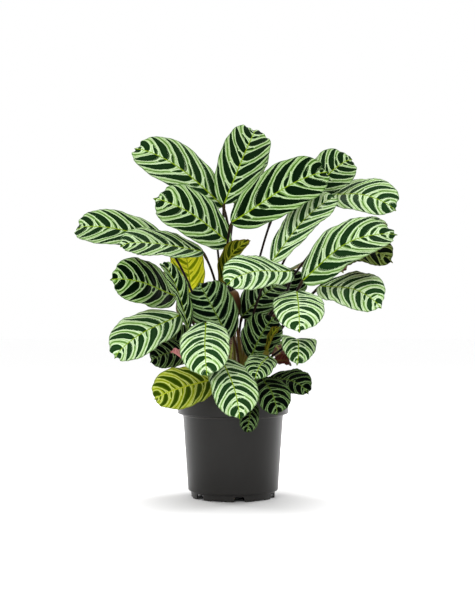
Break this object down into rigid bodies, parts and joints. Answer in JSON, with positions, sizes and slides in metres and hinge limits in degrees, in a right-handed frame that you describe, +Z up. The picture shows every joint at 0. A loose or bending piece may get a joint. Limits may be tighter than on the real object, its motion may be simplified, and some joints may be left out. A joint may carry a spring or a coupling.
{
  "type": "potted ctenanthe",
  "caption": "Bushy house plant with oblong barred leaves on thin petioles, standing in soil in a plain round nursery pot with a rim band and notched foot.",
  "frame": {"origin": "on the pot's axis, on the surface that the pot stands on", "axes": "+Z up along the pot's axis; the pictured front faces -Y, +X to the right in the picture"},
  "size_m": [0.3477, 0.2799, 0.4119],
  "materials": {
    "pot": "dark grey moulded plastic, slight sheen",
    "soil": "loose dark potting soil",
    "stem": "dark red-brown petioles over olive sheaths",
    "bright_leaf": "pale green blade with dark bars, satin",
    "shade_leaf": "deeper green older blade with near-black bars, satin",
    "young_leaf": "yellow-green young blade with olive bars, satin"
  },
  "bodies": {
    "root": {"pot": "pot", "soil": "soil", "shoot_a": "stem", "shoot_b": "stem", "shoot_c": "stem", "shoot_d": "stem", "shoot_e": "stem", "shoot_f": "stem", "shoot_g": "stem", "shoot_h": "stem", "shoot_j": "stem", "shoot_k": "stem", "leaf_crown": "bright_leaf", "leaf_upper_left": "bright_leaf", "leaf_second_left": "bright_leaf", "leaf_upper_right": "bright_leaf", "leaf_right_round": "bright_leaf", "leaf_right_shoulder": "bright_leaf", "leaf_slanted": "bright_leaf", "leaf_long_right": "bright_leaf", "leaf_curled_right": "shade_leaf", "leaf_edge_right": "bright_leaf", "leaf_mid_right": "bright_leaf", "leaf_center": "bright_leaf", "leaf_under_center": "shade_leaf", "leaf_heart": "bright_leaf", "leaf_small_right": "bright_leaf", "leaf_dark_center": "shade_leaf", "leaf_left_mid": "bright_leaf", "leaf_narrow_left": "bright_leaf", "leaf_yellow_back": "young_leaf", "leaf_left_long": "bright_leaf", "leaf_far_left": "bright_leaf", "leaf_dark_left": "shade_leaf", "leaf_lower_left": "bright_leaf", "leaf_dark_low_left": "shade_leaf", "leaf_front_left": "bright_leaf", "leaf_young_left": "young_leaf", "leaf_front_center": "bright_leaf", "leaf_front_dark": "shade_leaf", "leaf_right_low": "shade_leaf", "leaf_tiny_front": "bright_leaf", "leaf_hanging_tip": "shade_leaf", "leaf_olive_upright": "young_leaf", "leaf_shade_low_left": "shade_leaf", "leaf_behind_center": "shade_leaf", "leaf_back_crown": "bright_leaf", "leaf_back_high_left": "bright_leaf", "leaf_back_high_right": "bright_leaf", "leaf_back_left": "bright_leaf", "leaf_back_right": "bright_leaf", "leaf_back_mid_left": "bright_leaf", "leaf_back_mid_right": "bright_leaf", "leaf_back_low_left": "bright_leaf", "leaf_back_low": "bright_leaf", "leaf_back_low_right": "bright_leaf", "leaf_rolled_right": "bright_leaf", "leaf_red_under": "shade_leaf", "leaf_pink_spear": "young_leaf"}
  },
  "joints": []
}
